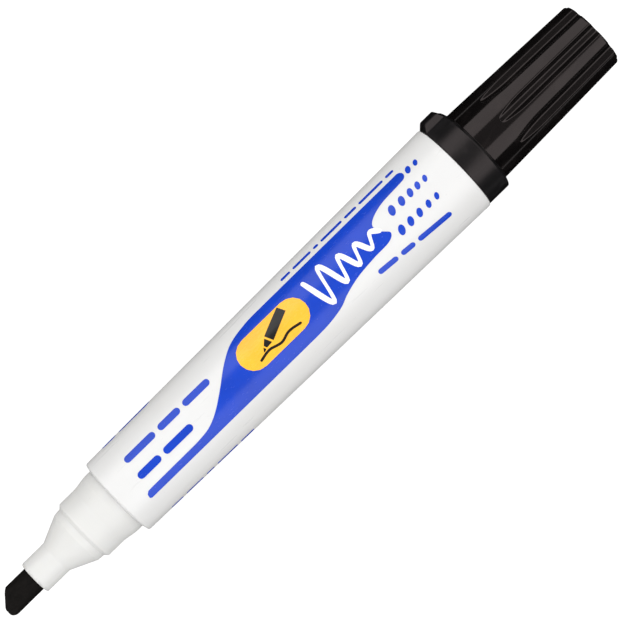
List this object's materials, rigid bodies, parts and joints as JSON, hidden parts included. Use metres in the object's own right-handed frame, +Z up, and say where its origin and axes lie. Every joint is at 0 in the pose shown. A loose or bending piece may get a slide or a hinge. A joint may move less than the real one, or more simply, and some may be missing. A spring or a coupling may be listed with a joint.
{
  "type": "whiteboard marker",
  "caption": "Whiteboard marker with a tapered white barrel, stepped nose, chisel nib and a fluted black cap posted on its rear end, which pulls off along the barrel.",
  "frame": {"origin": "centre of the marker's bounding box, at the height of the surface it lies on", "axes": "+X along the marker from the nib to the cap's closed end, +Z up through the printed side, +Y towards the anti-roll lug"},
  "size_m": [0.1542, 0.0202, 0.0194],
  "materials": {
    "barrel": "moulded white polypropylene, satin gloss",
    "nose": "milky white polypropylene, fine satin",
    "nib": "bonded fibre soaked with black ink",
    "ink_core": "bundled fibre wadding soaked with ink",
    "film": "thin clear plastic film",
    "plug": "moulded white polypropylene",
    "cap": "moulded black polypropylene, glossy body and slightly scuffed collar",
    "seal": "soft grey elastomer",
    "print_blue": "blue screen-printed ink",
    "print_amber": "amber screen-printed ink",
    "print_black": "black screen-printed ink",
    "print_white": "white screen-printed ink"
  },
  "bodies": {
    "marker": {"barrel": "barrel", "nose": "nose", "nib": "nib", "reservoir_core": "ink_core", "reservoir_film": "film", "rear_plug": "plug"},
    "cap": {"cap": "cap", "cap_seal": "seal"}
  },
  "joints": [
    {"name": "cap_slide", "type": "slide", "parent": "marker", "child": "cap", "axis": [1, 0, 0], "range_m": [0, 0.04]}
  ]
}
